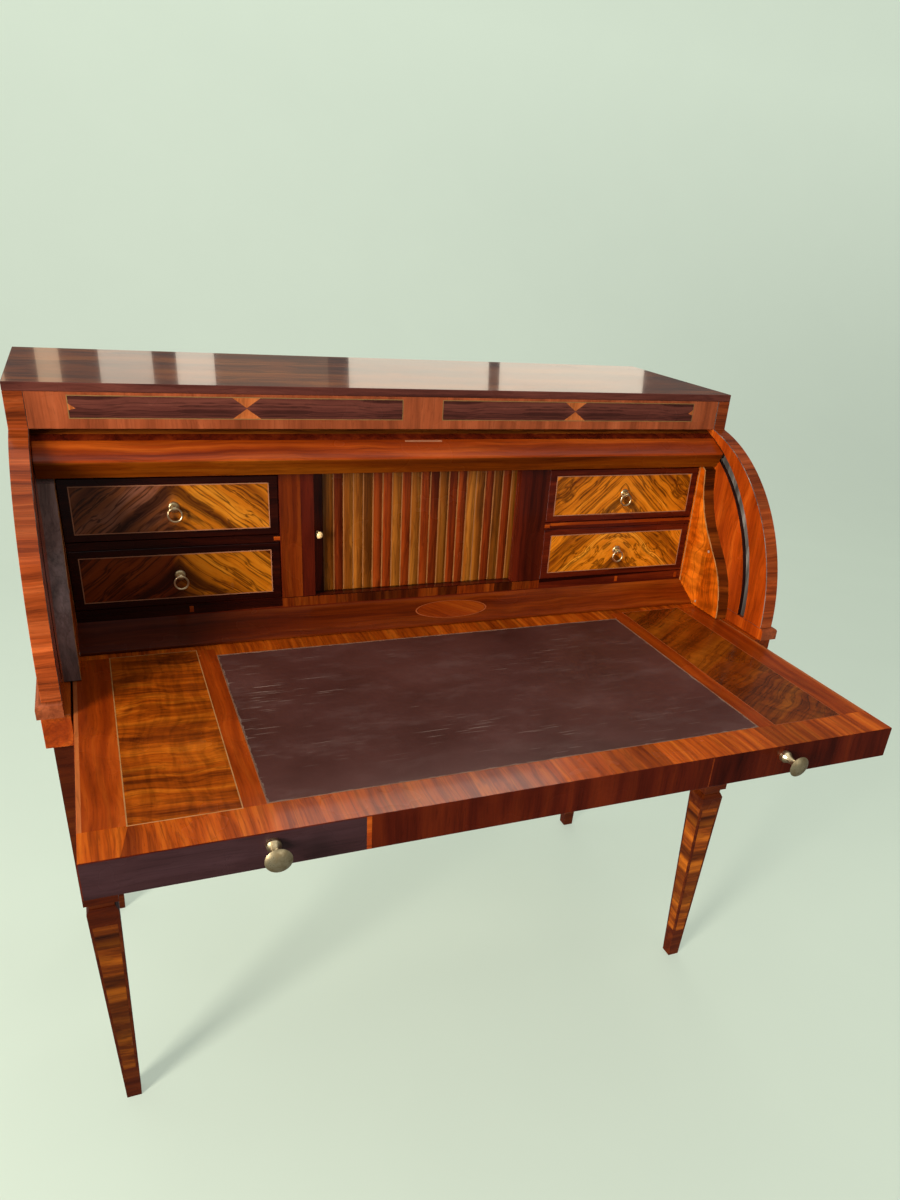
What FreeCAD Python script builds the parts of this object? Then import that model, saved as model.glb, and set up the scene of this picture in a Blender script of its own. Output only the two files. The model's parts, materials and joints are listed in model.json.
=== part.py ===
import FreeCAD, Part
import math
import os

# Cylinder desk, open for writing. Lengths are millimetres and angles are radians.
# x runs to the right, y from the front of the case to its back, z up from the floor.

# Case
case_width = 1180.0
side_thickness = 25.0
top_thickness = 12.0
back_thickness = 12.0
frieze_height = 49.0
frieze_thickness = 18.0
frieze_setback = 241.0
writing_height = 775.0
opening_height = 316.0
edge_ease = 0.8
cut_overrun = 5.0

# Base mouldings and belt rails
moulding_height = 20.0
moulding_reach = 8.0
moulding_round = 6.0
belt_reach = 4.0

# Legs and lower case
apron_height = 284.0
bottom_board_lift = 18.0
post_width = 50.0
post_inset = 4.0
post_setback = 12.0
neck_width = 36.0
neck_height = 12.0
leg_shoulder_width = 38.0
leg_shoulder_height = 8.0
leg_top_width = 46.0
foot_width = 24.0
lower_panel_thickness = 20.0
lower_panel_inset = 4.0
board_thickness = 16.0

# Writing slide
slide_inset = 10.0
slide_depth = 560.0
slide_thickness = 48.0
slide_pull = 335.0
slide_side_gap = 2.5
slide_bed_gap = 1.0
slide_bed_thickness = 15.0
slide_top_gap = 1.5
leather_side_margin = 203.5
leather_depth = 418.0
leather_margin = 58.0
leather_thickness = 1.5
leather_sink = 0.2
leather_gap = 0.3
slide_knob_margin = 198.0
slide_knob_lift = 8.0

# Turned knobs
knob_reach = 37.0
knob_head_diameter = 31.0
knob_neck_diameter = 9.0
knob_base_diameter = 17.0
knob_cap_height = 5.0
knob_base_share = 0.16
knob_neck_share = 0.55
knob_waist_share = 0.15
knob_flare_share = 0.3
knob_flare_rise_share = 0.65
spigot_diameter = 6.0
spigot_length = 11.0
spigot_gap = 0.1

# Cylinder
cylinder_inset = 50.0
shell_thickness = 16.0
rail_thickness = 30.0
rail_height = 44.0
rail_nose = 5.0
rail_lift = 5.0
rail_end_gap = 1.0
frieze_gap = 6.0
frieze_overlap = 10.0
rear_gap = 5.0
groove_depth = 7.0
groove_gap = 0.8
groove_tail = 8.0
interior_gap = 5.0

# Interior
interior_advance = 9.0
interior_top_thickness = 10.0
interior_bottom_thickness = 20.0
interior_bottom_lift = 31.0
interior_back_thickness = 12.0
cheek_thickness = 22.0
cheek_foot = 97.0
cheek_low_radius = 159.0
cheek_run = 40.0
cheek_slope = math.radians(42.0)
peg_diameter = 5.0
peg_length = 10.0
peg_proud = 0.5
peg_setbacks = (157.0, 168.0)
peg_heights = (112.0, 10.0)
shelf_thickness = 12.0
jamb_width = 54.5
jamb_thickness = 18.0
partition_thickness = 12.0
plinth_reach = 52.0
plinth_toe = 3.0
plinth_lap = 2.0

# Tambour door
tambour_opening = 358.0
tambour_gap = 2.0
tambour_groove_depth = 5.0
tambour_play = 0.6
slat_count = 22
slat_thickness = 7.0
slat_gap = 0.5
slat_tail = 25.0
lead_bar_width = 18.0
lead_bar_thickness = 12.0
tambour_knob_reach = 18.0
tambour_knob_head = 12.0
tambour_knob_neck = 6.0
tambour_knob_base = 7.0
tambour_knob_cap = 4.5
tambour_spigot_diameter = 3.0
tambour_spigot_length = 6.0

# Small drawers
drawer_gap = 1.0
drawer_front_thickness = 16.0
drawer_wall = 8.0
drawer_floor = 5.0
drawer_box_gap = 2.0
drawer_box_drop = 10.0
drawer_back_gap = 8.0

# Ring pulls
rosette_diameter = 16.0
rosette_thickness = 3.5
rosette_round = 2.5
eye_reach = 9.0
eye_radius = 4.2
eye_width = 4.0
eye_stem_diameter = 5.0
eye_gap = 0.45
ring_diameter = 23.0
ring_wire = 3.0
boss_spigot_diameter = 4.0
boss_spigot_length = 9.0
pull_lift = 2.0

# Long drawers
long_drawer_gap = 1.5
long_front_thickness = 18.0
long_drawer_wall = 12.0
long_drawer_floor = 8.0
long_box_gap = 3.0
long_box_drop = 16.0
long_back_gap = 30.0
long_knob_margin = 206.0

# Levels and faces worked out from the sizes above
side_outer = case_width / 2
side_inner = side_outer - side_thickness
curve_level = writing_height + moulding_height
frieze_bottom = writing_height + opening_height
top_underside = frieze_bottom + frieze_height
frieze_back = frieze_setback + frieze_thickness
edge_rise = frieze_bottom - curve_level
edge_radius = (frieze_setback ** 2 + edge_rise ** 2) / (2 * frieze_setback)
slide_bottom = writing_height - slide_thickness
slide_half = side_inner - slide_inset
leather_half = slide_half - leather_side_margin
slide_front = -slide_pull
slide_back = slide_front + slide_depth
bed_top = slide_bottom - slide_bed_gap
bed_bottom = bed_top - slide_bed_thickness
apron_bottom = slide_bottom - apron_height
above_slide = writing_height + slide_top_gap

# The cylinder passes just under the back of the frieze, about an axis level with the mouldings' top
axis_lead = frieze_back - cylinder_inset
cylinder_radius = (axis_lead ** 2 + edge_rise ** 2 - frieze_gap ** 2) / (2 * (axis_lead + frieze_gap))
axis_depth = cylinder_inset + cylinder_radius
shell_inner = cylinder_radius - shell_thickness
rail_inner = cylinder_radius - rail_thickness

# The interior stays inside the path of the cylinder's rail in front and of its shell behind
interior_front = frieze_setback - interior_advance
rail_clear = rail_inner - interior_gap
shell_clear = shell_inner - interior_gap
interior_top = curve_level + math.sqrt(rail_clear ** 2 - (axis_depth - interior_front) ** 2)
interior_back = axis_depth + math.sqrt(shell_clear ** 2 - (interior_top - curve_level) ** 2)
bay_top = interior_top - interior_top_thickness
interior_bottom = writing_height + interior_bottom_lift
bay_bottom = interior_bottom + interior_bottom_thickness
cheek_inner = side_inner - cheek_thickness
bay_inner = tambour_opening / 2 + jamb_width
bay_back = interior_back - interior_back_thickness
shelf_bottom = (bay_bottom + bay_top - shelf_thickness) / 2
shelf_top = shelf_bottom + shelf_thickness
tambour_front = interior_front + jamb_thickness + tambour_gap
tambour_half = tambour_opening / 2 + jamb_width - partition_thickness

# Angles of the cylinder, from the front of its axis upwards, in the open position
rail_angle = rail_height / cylinder_radius
open_angle = math.asin((bay_top + rail_lift - curve_level) / rail_inner)
closed_angle = math.asin((above_slide - curve_level) / cylinder_radius)
closed_end_angle = math.acos((axis_depth - frieze_back - frieze_overlap) / cylinder_radius)
open_end_angle = closed_end_angle + open_angle - closed_angle
groove_end_angle = open_end_angle + groove_tail / cylinder_radius
groove_start_angle = -cut_overrun / cylinder_radius

case_depth = axis_depth - cylinder_radius * math.cos(open_end_angle) + rear_gap + back_thickness
back_face = case_depth - back_thickness
post_outer = side_outer - post_inset
post_inner = post_outer - post_width
lower_panel_outer = post_outer - lower_panel_inset
lower_panel_inner = lower_panel_outer - lower_panel_thickness
bottom_board_bottom = apron_bottom + bottom_board_lift
bottom_board_top = bottom_board_bottom + board_thickness
middle_board_bottom = (bottom_board_bottom + bed_bottom) / 2
middle_board_top = middle_board_bottom + board_thickness

# The origin is on the floor, below the middle of the whole desk as it stands open
origin_depth = (slide_front - knob_reach + case_depth) / 2

sides = {"left": -1, "right": 1}


def point(x, y, z):
    return FreeCAD.Vector(x, y, z)


def block(x, y, z):
    """A box between pairs of limits."""
    return Part.makeBox(x[1] - x[0], y[1] - y[0], z[1] - z[0], point(x[0], y[0], z[0]))


def eased(shape):
    """The same shape with its sharp edges taken off."""
    return shape.makeChamfer(edge_ease, shape.Edges)


def on_side(side, near, far):
    """Limits in x of a piece that lies between two distances from the middle."""
    return (near, far) if side > 0 else (-far, -near)


def extruded(edges, x):
    """A solid from a closed outline at x = 0, drawn out between two limits in x."""
    face = Part.Face(Part.Wire(Part.__sortEdges__(edges)))
    face.translate(point(x[0], 0, 0))
    return face.extrude(point(x[1] - x[0], 0, 0))


def straight(points):
    """Straight edges through points."""
    return [Part.LineSegment(a, b).toShape() for a, b in zip(points, points[1:])]


def arc(start, middle, end):
    return Part.Arc(start, middle, end).toShape()


def polar(radius, angle):
    """A point of the cylinder's section, by its angle up from the front of the axis."""
    return point(0, axis_depth - radius * math.cos(angle), curve_level + radius * math.sin(angle))


def sector(inner, outer, start, end, x):
    """A stretch of a ring about the cylinder's axis."""
    middle = (start + end) / 2
    edges = [arc(polar(outer, start), polar(outer, middle), polar(outer, end))]
    edges += straight([polar(outer, end), polar(inner, end)])
    edges += [arc(polar(inner, end), polar(inner, middle), polar(inner, start))]
    edges += straight([polar(inner, start), polar(outer, start)])
    return extruded(edges, x)


def peg(diameter, base, direction, length):
    return Part.makeCylinder(diameter / 2, length, base, direction)


def save(name, shape):
    """Writes one piece, moved so that the desk's own origin is the zero of its frame."""
    placed = shape.copy()
    placed.translate(point(0, -origin_depth, 0))
    placed.exportStep("parts/%s.step" % name)


def turned_knob(place, reach, head, cap_height, neck, base, spigot, spigot_depth):
    """A mushroom knob turned about y, with its spigot behind the face that it stands on."""

    def at(radius, distance):
        return point(place.x + radius, place.y - distance, place.z)

    rim = reach - cap_height
    neck_end = reach * knob_neck_share
    foot = reach * knob_base_share
    waist = (neck + (base - neck) * knob_waist_share) / 2
    flare = (neck + (head - neck) * knob_flare_share) / 2
    flare_rise = neck_end + (rim - neck_end) * knob_flare_rise_share
    cap_radius = ((head / 2) ** 2 + cap_height ** 2) / (2 * cap_height)
    cap_turn = math.acos((cap_radius - cap_height) / cap_radius)
    cap_middle = at(cap_radius * math.sin(cap_turn / 2), reach - cap_radius * (1 - math.cos(cap_turn / 2)))
    axis_back = at(0, -spigot_depth)
    edges = straight([
        axis_back, at(spigot / 2, -spigot_depth), at(spigot / 2, 0), at(base / 2, 0), at(base / 2, foot)])
    edges.append(arc(at(base / 2, foot), at(waist, (foot + neck_end) / 2), at(neck / 2, neck_end)))
    edges.append(arc(at(neck / 2, neck_end), at(flare, flare_rise), at(head / 2, rim)))
    edges.append(arc(at(head / 2, rim), cap_middle, at(0, reach)))
    edges += straight([at(0, reach), axis_back])
    face = Part.Face(Part.Wire(Part.__sortEdges__(edges)))
    return face.revolve(place, point(0, 1, 0), 360)


def spigot_hole(place, diameter, depth):
    """The hole that a knob's or boss's spigot goes into."""
    mouth = point(place.x, place.y - cut_overrun, place.z)
    return peg(diameter + 2 * spigot_gap, mouth, point(0, 1, 0), depth + spigot_gap + cut_overrun)


def side_panel(side):
    """An upper side: a board with a curved front edge, and the cylinder's groove in its inner face."""
    turn = math.acos((edge_radius - frieze_setback) / edge_radius)
    bulge = point(0, edge_radius * (1 - math.cos(turn / 2)), curve_level + edge_radius * math.sin(turn / 2))
    foot = point(0, 0, curve_level)
    corner = point(0, frieze_setback, frieze_bottom)
    edges = [arc(foot, bulge, corner)]
    edges += straight([
        corner,
        point(0, frieze_setback, top_underside),
        point(0, case_depth, top_underside),
        point(0, case_depth, curve_level),
        foot,
    ])
    board = eased(extruded(edges, on_side(side, side_inner, side_outer)))
    groove_x = on_side(side, side_inner - cut_overrun, side_inner + groove_depth)
    inner = shell_inner - groove_gap
    outer = cylinder_radius + groove_gap
    return board.cut(sector(inner, outer, groove_start_angle, groove_end_angle, groove_x))


def base_moulding(side):
    """The moulding that a side panel stands on, rounded along its front and outer top edges."""
    x = on_side(side, side_inner, side_outer + moulding_reach)
    bar = block(x, (-moulding_reach, case_depth), (writing_height, curve_level))
    outer_x = x[1] if side > 0 else x[0]

    def rounded(edge):
        centre = edge.CenterOfMass
        on_top = abs(centre.z - curve_level) < edge_ease
        in_front = abs(centre.y + moulding_reach) < edge_ease
        outside = abs(centre.x - outer_x) < edge_ease
        return on_top and (in_front or outside)

    return bar.makeFillet(moulding_round, [edge for edge in bar.Edges if rounded(edge)])


def post_limits(side, front):
    """Limits in x and y of a corner post."""
    first = post_setback if front else back_face - post_width
    return on_side(side, post_inner, post_outer), (first, first + post_width)


def leg(side, front):
    """A corner post with a neck and a tapered square leg below it."""
    x, y = post_limits(side, front)
    centre_x = sum(x) / 2
    centre_y = sum(y) / 2

    def square(width, z):
        half = width / 2
        corners = [(-half, -half), (half, -half), (half, half), (-half, half), (-half, -half)]
        return Part.makePolygon([point(centre_x + a, centre_y + b, z) for a, b in corners])

    shoulder = apron_bottom - neck_height
    leg_top = shoulder - leg_shoulder_height
    sections = [square(foot_width, 0), square(leg_top_width, leg_top), square(leg_shoulder_width, shoulder)]
    taper = Part.makeLoft(sections, True, True)
    half = neck_width / 2
    neck = block(
        (centre_x - half, centre_x + half), (centre_y - half, centre_y + half), (shoulder, apron_bottom))
    post = block(x, y, (apron_bottom, slide_bottom))
    return post.fuse([neck, taper]).removeSplitter()


def notched_board(y, z):
    """A board of the lower case, cut round the four corner posts."""
    board = block((-lower_panel_inner, lower_panel_inner), y, z)
    for side in sides.values():
        for front in (True, False):
            post_x, post_y = post_limits(side, front)
            board = board.cut(block(post_x, post_y, (z[0] - cut_overrun, z[1] + cut_overrun)))
    return board


def slide_knob_place(side):
    middle = (slide_bottom + writing_height) / 2
    return point(side * (slide_half - slide_knob_margin), slide_front, middle + slide_knob_lift)


def brass_knob(place):
    return turned_knob(
        place, knob_reach, knob_head_diameter, knob_cap_height, knob_neck_diameter, knob_base_diameter,
        spigot_diameter, spigot_length)


def writing_slide():
    """The slide's board, with a shallow bed for the leather and the knobs' holes in its front edge."""
    slide_z = (slide_bottom, writing_height)
    board = eased(block((-slide_half, slide_half), (slide_front, slide_back), slide_z))
    half = leather_half + leather_gap
    first = slide_front + leather_margin - leather_gap
    bed_depth = leather_thickness + leather_sink
    board = board.cut(block(
        (-half, half), (first, first + leather_depth + 2 * leather_gap),
        (writing_height - bed_depth, writing_height + cut_overrun)))
    for side in sides.values():
        board = board.cut(spigot_hole(slide_knob_place(side), spigot_diameter, spigot_length))
    return board


def leather_inset():
    first = slide_front + leather_margin
    top = writing_height - leather_sink
    return block(
        (-leather_half, leather_half), (first, first + leather_depth), (top - leather_thickness, top))


def cylinder_rail():
    """The bottom rail of the cylinder, thicker than the shell, with a rounded nose."""
    half = side_inner - rail_end_gap
    bar = sector(rail_inner, cylinder_radius, open_angle, open_angle + rail_angle, (-half, half))
    nose = polar(cylinder_radius, open_angle)

    def at_nose(edge):
        centre = edge.CenterOfMass
        return math.hypot(centre.y - nose.y, centre.z - nose.z) < edge_ease

    return bar.makeFillet(rail_nose, [edge for edge in bar.Edges if at_nose(edge)])


def cylinder_shell():
    """The curved shell, whose ends run in the grooves of the side panels."""
    half = side_inner + groove_depth - groove_gap
    return sector(shell_inner, cylinder_radius, open_angle + rail_angle, open_end_angle, (-half, half))


def peg_places(side):
    """The middles of the cheek's peg heads."""
    return [
        point(side * (cheek_inner - peg_proud), setback, writing_height + height)
        for setback, height in zip(peg_setbacks, peg_heights)
    ]


def cheek(side):
    """A cheek with an ogee front edge, kept inside the path of the cylinder's rail."""
    foot = point(0, cheek_foot, above_slide)

    def low(angle):
        y = cheek_foot + cheek_low_radius * (1 - math.cos(angle))
        return point(0, y, above_slide + cheek_low_radius * math.sin(angle))

    low_end = low(cheek_slope)
    high_start = point(
        0, low_end.y + cheek_run * math.sin(cheek_slope), low_end.z + cheek_run * math.cos(cheek_slope))
    high_radius = (interior_top - high_start.z) / math.sin(cheek_slope)

    def high(angle):
        y = high_start.y + high_radius * (math.cos(angle) - math.cos(cheek_slope))
        return point(0, y, interior_top - high_radius * math.sin(angle))

    edges = [arc(foot, low(cheek_slope / 2), low_end)]
    edges += straight([low_end, high_start])
    edges.append(arc(high_start, high(cheek_slope / 2), high(0)))
    edges += straight([
        high(0),
        point(0, interior_back, interior_top),
        point(0, interior_back, above_slide),
        foot,
    ])
    x = on_side(side, cheek_inner, side_inner)
    board = extruded(edges, x)
    path = Part.makeCylinder(
        rail_clear, x[1] - x[0], point(x[0], axis_depth, curve_level), point(1, 0, 0))
    behind = block(x, (axis_depth, interior_back), (above_slide, interior_top))
    board = board.common(path.fuse(behind)).removeSplitter()
    for place in peg_places(side):
        hole_length = peg_length + peg_proud + spigot_gap
        board = board.cut(peg(peg_diameter + 2 * spigot_gap, place, point(side, 0, 0), hole_length))
    return board


def cheek_pegs():
    pegs = []
    for side in sides.values():
        for place in peg_places(side):
            pegs.append(peg(peg_diameter, place, point(side, 0, 0), peg_length))
    return Part.makeCompound(pegs)


def tambour_groove(z):
    """The groove that guides the tambour, in the boards above and below it."""
    y = (tambour_front - tambour_play, tambour_front + lead_bar_thickness + tambour_play)
    return block((-tambour_half, tambour_half), y, z)


def interior_board(z):
    return block((-cheek_inner, cheek_inner), (interior_front, interior_back), z)


def interior_top_board():
    groove = tambour_groove((bay_top - cut_overrun, bay_top + tambour_groove_depth))
    return interior_board((bay_top, interior_top)).cut(groove)


def interior_bottom_board():
    groove = tambour_groove((bay_bottom - tambour_groove_depth, bay_bottom + cut_overrun))
    return interior_board((interior_bottom, bay_bottom)).cut(groove)


def jamb(side):
    """A stile beside the tambour, and the partition behind it."""
    z = (bay_bottom, bay_top)
    stile_x = on_side(side, tambour_opening / 2, bay_inner)
    stile = block(stile_x, (interior_front, interior_front + jamb_thickness), z)
    partition_x = on_side(side, bay_inner - partition_thickness, bay_inner)
    partition = block(partition_x, (interior_front, bay_back), z)
    return stile.fuse(partition).removeSplitter()


def sloped_plinth():
    """The sloping board under the drawers, down to just above the slide."""
    toe = interior_front - plinth_reach
    edges = straight([
        point(0, toe, above_slide),
        point(0, toe, above_slide + plinth_toe),
        point(0, interior_front, interior_bottom + plinth_lap),
        point(0, interior_front, above_slide),
        point(0, toe, above_slide),
    ])
    return extruded(edges, (-cheek_inner, cheek_inner))


tambour_lap = tambour_groove_depth - tambour_play
tambour_z = (bay_bottom - tambour_lap, bay_top + tambour_lap)
lead_bar_start = -tambour_opening / 2 + tambour_play
tambour_knob_place = point(lead_bar_start + lead_bar_width / 2, tambour_front, (bay_bottom + bay_top) / 2)


def tambour_lead_bar():
    x = (lead_bar_start, lead_bar_start + lead_bar_width)
    bar = eased(block(x, (tambour_front, tambour_front + lead_bar_thickness), tambour_z))
    return bar.cut(spigot_hole(tambour_knob_place, tambour_spigot_diameter, tambour_spigot_length))


def tambour_slats():
    """The curtain: narrow slats side by side, from the lead bar to behind the right jamb."""
    start = lead_bar_start + lead_bar_width
    pitch = (tambour_opening / 2 + slat_tail - start) / slat_count
    first = tambour_front + (lead_bar_thickness - slat_thickness) / 2
    slats = []
    for index in range(slat_count):
        x = start + index * pitch
        slats.append(eased(block((x + slat_gap, x + pitch), (first, first + slat_thickness), tambour_z)))
    return Part.makeCompound(slats)


def tambour_knob():
    return turned_knob(
        tambour_knob_place, tambour_knob_reach, tambour_knob_head, tambour_knob_cap, tambour_knob_neck,
        tambour_knob_base, tambour_spigot_diameter, tambour_spigot_length)


def tray(x, y, z, wall, floor):
    """A drawer's box: two sides, a back and a floor, open above, behind its front."""
    inside_y = (y[0] - cut_overrun, y[1] - wall)
    inside_z = (z[0] + floor, z[1] + cut_overrun)
    return block(x, y, z).cut(block((x[0] + wall, x[1] - wall), inside_y, inside_z))


def pull_place(x, z):
    return point(sum(x) / 2, interior_front, sum(z) / 2 + pull_lift)


def pull_boss(place):
    """A rosette with an eye in front of it for the ring, and a spigot behind."""
    outwards = point(0, -1, 0)
    rosette = peg(rosette_diameter, place, outwards, rosette_thickness)
    front_edge = [edge for edge in rosette.Edges if abs(edge.CenterOfMass.y - place.y) > rosette_round]
    rim = [edge for edge in front_edge if len(edge.Vertexes) == 1]
    rosette = rosette.makeFillet(rosette_round, rim)
    stem = peg(eye_stem_diameter, place, outwards, eye_reach)
    spigot = peg(boss_spigot_diameter, place, point(0, 1, 0), boss_spigot_length)
    eye_start = point(place.x - eye_width / 2, place.y - eye_reach, place.z)
    along = point(1, 0, 0)
    eye = Part.makeCylinder(eye_radius, eye_width, eye_start, along)
    sag = (eye_width / 2) ** 2 / (ring_diameter - ring_wire)
    bore_radius = ring_wire / 2 + sag + eye_gap
    bore_start = point(place.x - eye_width - cut_overrun, eye_start.y, eye_start.z)
    bore = Part.makeCylinder(bore_radius, 2 * (eye_width + cut_overrun), bore_start, along)
    return rosette.fuse([stem, spigot, eye]).removeSplitter().cut(bore)


def pull_ring(place):
    """A ring that hangs in the boss's eye."""
    middle = (ring_diameter - ring_wire) / 2
    centre = point(place.x, place.y - eye_reach, place.z - middle)
    return Part.makeTorus(middle, ring_wire / 2, centre, point(0, 1, 0))


def small_drawer(name, side, z):
    """Saves the front, box, boss and ring of one small drawer."""
    bay_x = on_side(side, bay_inner, cheek_inner)
    x = (bay_x[0] + drawer_gap, bay_x[1] - drawer_gap)
    front_back = interior_front + drawer_front_thickness
    front = eased(block(x, (interior_front, front_back), (z[0] + drawer_gap, z[1] - drawer_gap)))
    place = pull_place(x, z)
    save(name + "_drawer_front", front.cut(spigot_hole(place, boss_spigot_diameter, boss_spigot_length)))
    box_x = (x[0] + drawer_box_gap, x[1] - drawer_box_gap)
    box_y = (front_back, bay_back - drawer_back_gap)
    box_z = (z[0] + drawer_gap, z[1] - drawer_box_drop)
    save(name + "_drawer_box", tray(box_x, box_y, box_z, drawer_wall, drawer_floor))
    save(name + "_pull_boss", pull_boss(place))
    save(name + "_pull_ring", pull_ring(place))


def long_drawer(name, z):
    """Saves the front, box and knobs of one long drawer of the lower case."""
    half = post_inner - long_drawer_gap
    front_back = post_setback + long_front_thickness
    front_z = (z[0] + long_drawer_gap, z[1] - long_drawer_gap)
    front = eased(block((-half, half), (post_setback, front_back), front_z))
    knobs = []
    for side in sides.values():
        place = point(side * (post_inner - long_knob_margin), post_setback, sum(z) / 2)
        front = front.cut(spigot_hole(place, spigot_diameter, spigot_length))
        knobs.append(brass_knob(place))
    save(name + "_long_drawer_front", front)
    box_x = (long_box_gap - half, half - long_box_gap)
    box_y = (front_back, back_face - long_back_gap)
    box_z = (z[0] + long_drawer_gap, z[1] - long_box_drop)
    save(name + "_long_drawer_box", tray(box_x, box_y, box_z, long_drawer_wall, long_drawer_floor))
    save(name + "_long_drawer_knobs", Part.makeCompound(knobs))


def save_case():
    inside = (-side_inner, side_inner)
    top_z = (top_underside, top_underside + top_thickness)
    save("top_board", eased(block((-side_outer, side_outer), (frieze_setback, case_depth), top_z)))
    save("frieze_rail", eased(block(inside, (frieze_setback, frieze_back), (frieze_bottom, top_underside))))
    save("back_panel", eased(block(inside, (back_face, case_depth), (apron_bottom, top_underside))))
    board_y = (post_setback, back_face)
    save("slide_bed", notched_board(board_y, (bed_bottom, bed_top)))
    save("middle_board", notched_board(board_y, (middle_board_bottom, middle_board_top)))
    save("bottom_board", notched_board(board_y, (bottom_board_bottom, bottom_board_top)))
    panel_y = (post_setback + post_width, back_face - post_width)
    for name, side in sides.items():
        save(name + "_side_panel", side_panel(side))
        save(name + "_base_moulding", base_moulding(side))
        belt_x = on_side(side, slide_half + slide_side_gap, side_outer + belt_reach)
        save(name + "_belt_rail", eased(block(belt_x, (0, back_face), (slide_bottom, writing_height))))
        panel_x = on_side(side, lower_panel_inner, lower_panel_outer)
        save(name + "_lower_panel", block(panel_x, panel_y, (apron_bottom, slide_bottom)))
        save("front_%s_leg" % name, leg(side, True))
        save("rear_%s_leg" % name, leg(side, False))


def save_interior():
    save("interior_top", interior_top_board())
    save("interior_bottom", interior_bottom_board())
    inside = (-cheek_inner, cheek_inner)
    save("interior_back", block(inside, (bay_back, interior_back), (bay_bottom, bay_top)))
    save("sloped_plinth", sloped_plinth())
    save("cheek_pegs", cheek_pegs())
    for name, side in sides.items():
        save(name + "_cheek", cheek(side))
        save(name + "_jamb", jamb(side))
        shelf_x = on_side(side, bay_inner, cheek_inner)
        save(name + "_shelf", block(shelf_x, (interior_front, bay_back), (shelf_bottom, shelf_top)))
        small_drawer("upper_" + name, side, (shelf_top, bay_top))
        small_drawer("lower_" + name, side, (bay_bottom, shelf_bottom))
    save("tambour_lead_bar", tambour_lead_bar())
    save("tambour_slats", tambour_slats())
    save("tambour_knob", tambour_knob())


def save_moving_case_parts():
    save("cylinder_shell", cylinder_shell())
    save("cylinder_rail", cylinder_rail())
    save("slide_board", writing_slide())
    save("leather_inset", leather_inset())
    for name, side in sides.items():
        save(name + "_slide_knob", brass_knob(slide_knob_place(side)))
    long_drawer("upper", (middle_board_top, bed_bottom))
    long_drawer("lower", (bottom_board_top, middle_board_bottom))


os.makedirs("parts", exist_ok=True)
save_case()
save_interior()
save_moving_case_parts()
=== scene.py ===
import json
import math

import bmesh
import bpy
from mathutils import Matrix, Vector


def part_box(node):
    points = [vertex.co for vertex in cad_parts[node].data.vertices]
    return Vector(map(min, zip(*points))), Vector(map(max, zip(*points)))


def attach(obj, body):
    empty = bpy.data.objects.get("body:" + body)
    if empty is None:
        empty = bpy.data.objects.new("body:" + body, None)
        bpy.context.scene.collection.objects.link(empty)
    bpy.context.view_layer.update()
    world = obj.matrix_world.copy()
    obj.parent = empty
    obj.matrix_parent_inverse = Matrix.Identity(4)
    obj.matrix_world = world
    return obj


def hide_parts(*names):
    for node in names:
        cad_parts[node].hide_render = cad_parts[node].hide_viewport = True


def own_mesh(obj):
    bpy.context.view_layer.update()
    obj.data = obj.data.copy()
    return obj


# Looks of an open cylinder desk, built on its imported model. Lengths are metres.

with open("model.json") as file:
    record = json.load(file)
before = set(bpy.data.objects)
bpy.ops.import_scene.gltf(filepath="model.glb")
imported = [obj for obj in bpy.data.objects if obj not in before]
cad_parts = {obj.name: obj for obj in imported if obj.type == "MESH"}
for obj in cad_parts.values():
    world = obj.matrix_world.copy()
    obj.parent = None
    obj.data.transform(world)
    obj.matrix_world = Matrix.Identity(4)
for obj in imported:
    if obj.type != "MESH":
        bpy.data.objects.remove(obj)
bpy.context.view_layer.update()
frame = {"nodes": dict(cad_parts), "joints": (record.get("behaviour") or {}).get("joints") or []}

MM = 0.001
TOUCH = 0.2 * MM
VENEER_PROUD = 0.15 * MM
LINE_PROUD = 0.22 * MM
VENEER_SINK = 0.6 * MM
LINE_WIDTH = 1.4 * MM
RIM = 1 * MM
SMOOTH_ANGLE = math.radians(35)
SIDES = {"left": -1, "right": 1}
LEVELS = ("upper", "lower")

# The least part of a face's normal along an axis for a face that faces, leans or barely turns that way
FACING = 0.9
LEANING = 0.5
TURNING = 0.05


# Node trees

# Sockets of a Mix node that mixes colours
MIX_A, MIX_B, MIX_RESULT = 6, 7, 2


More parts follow.
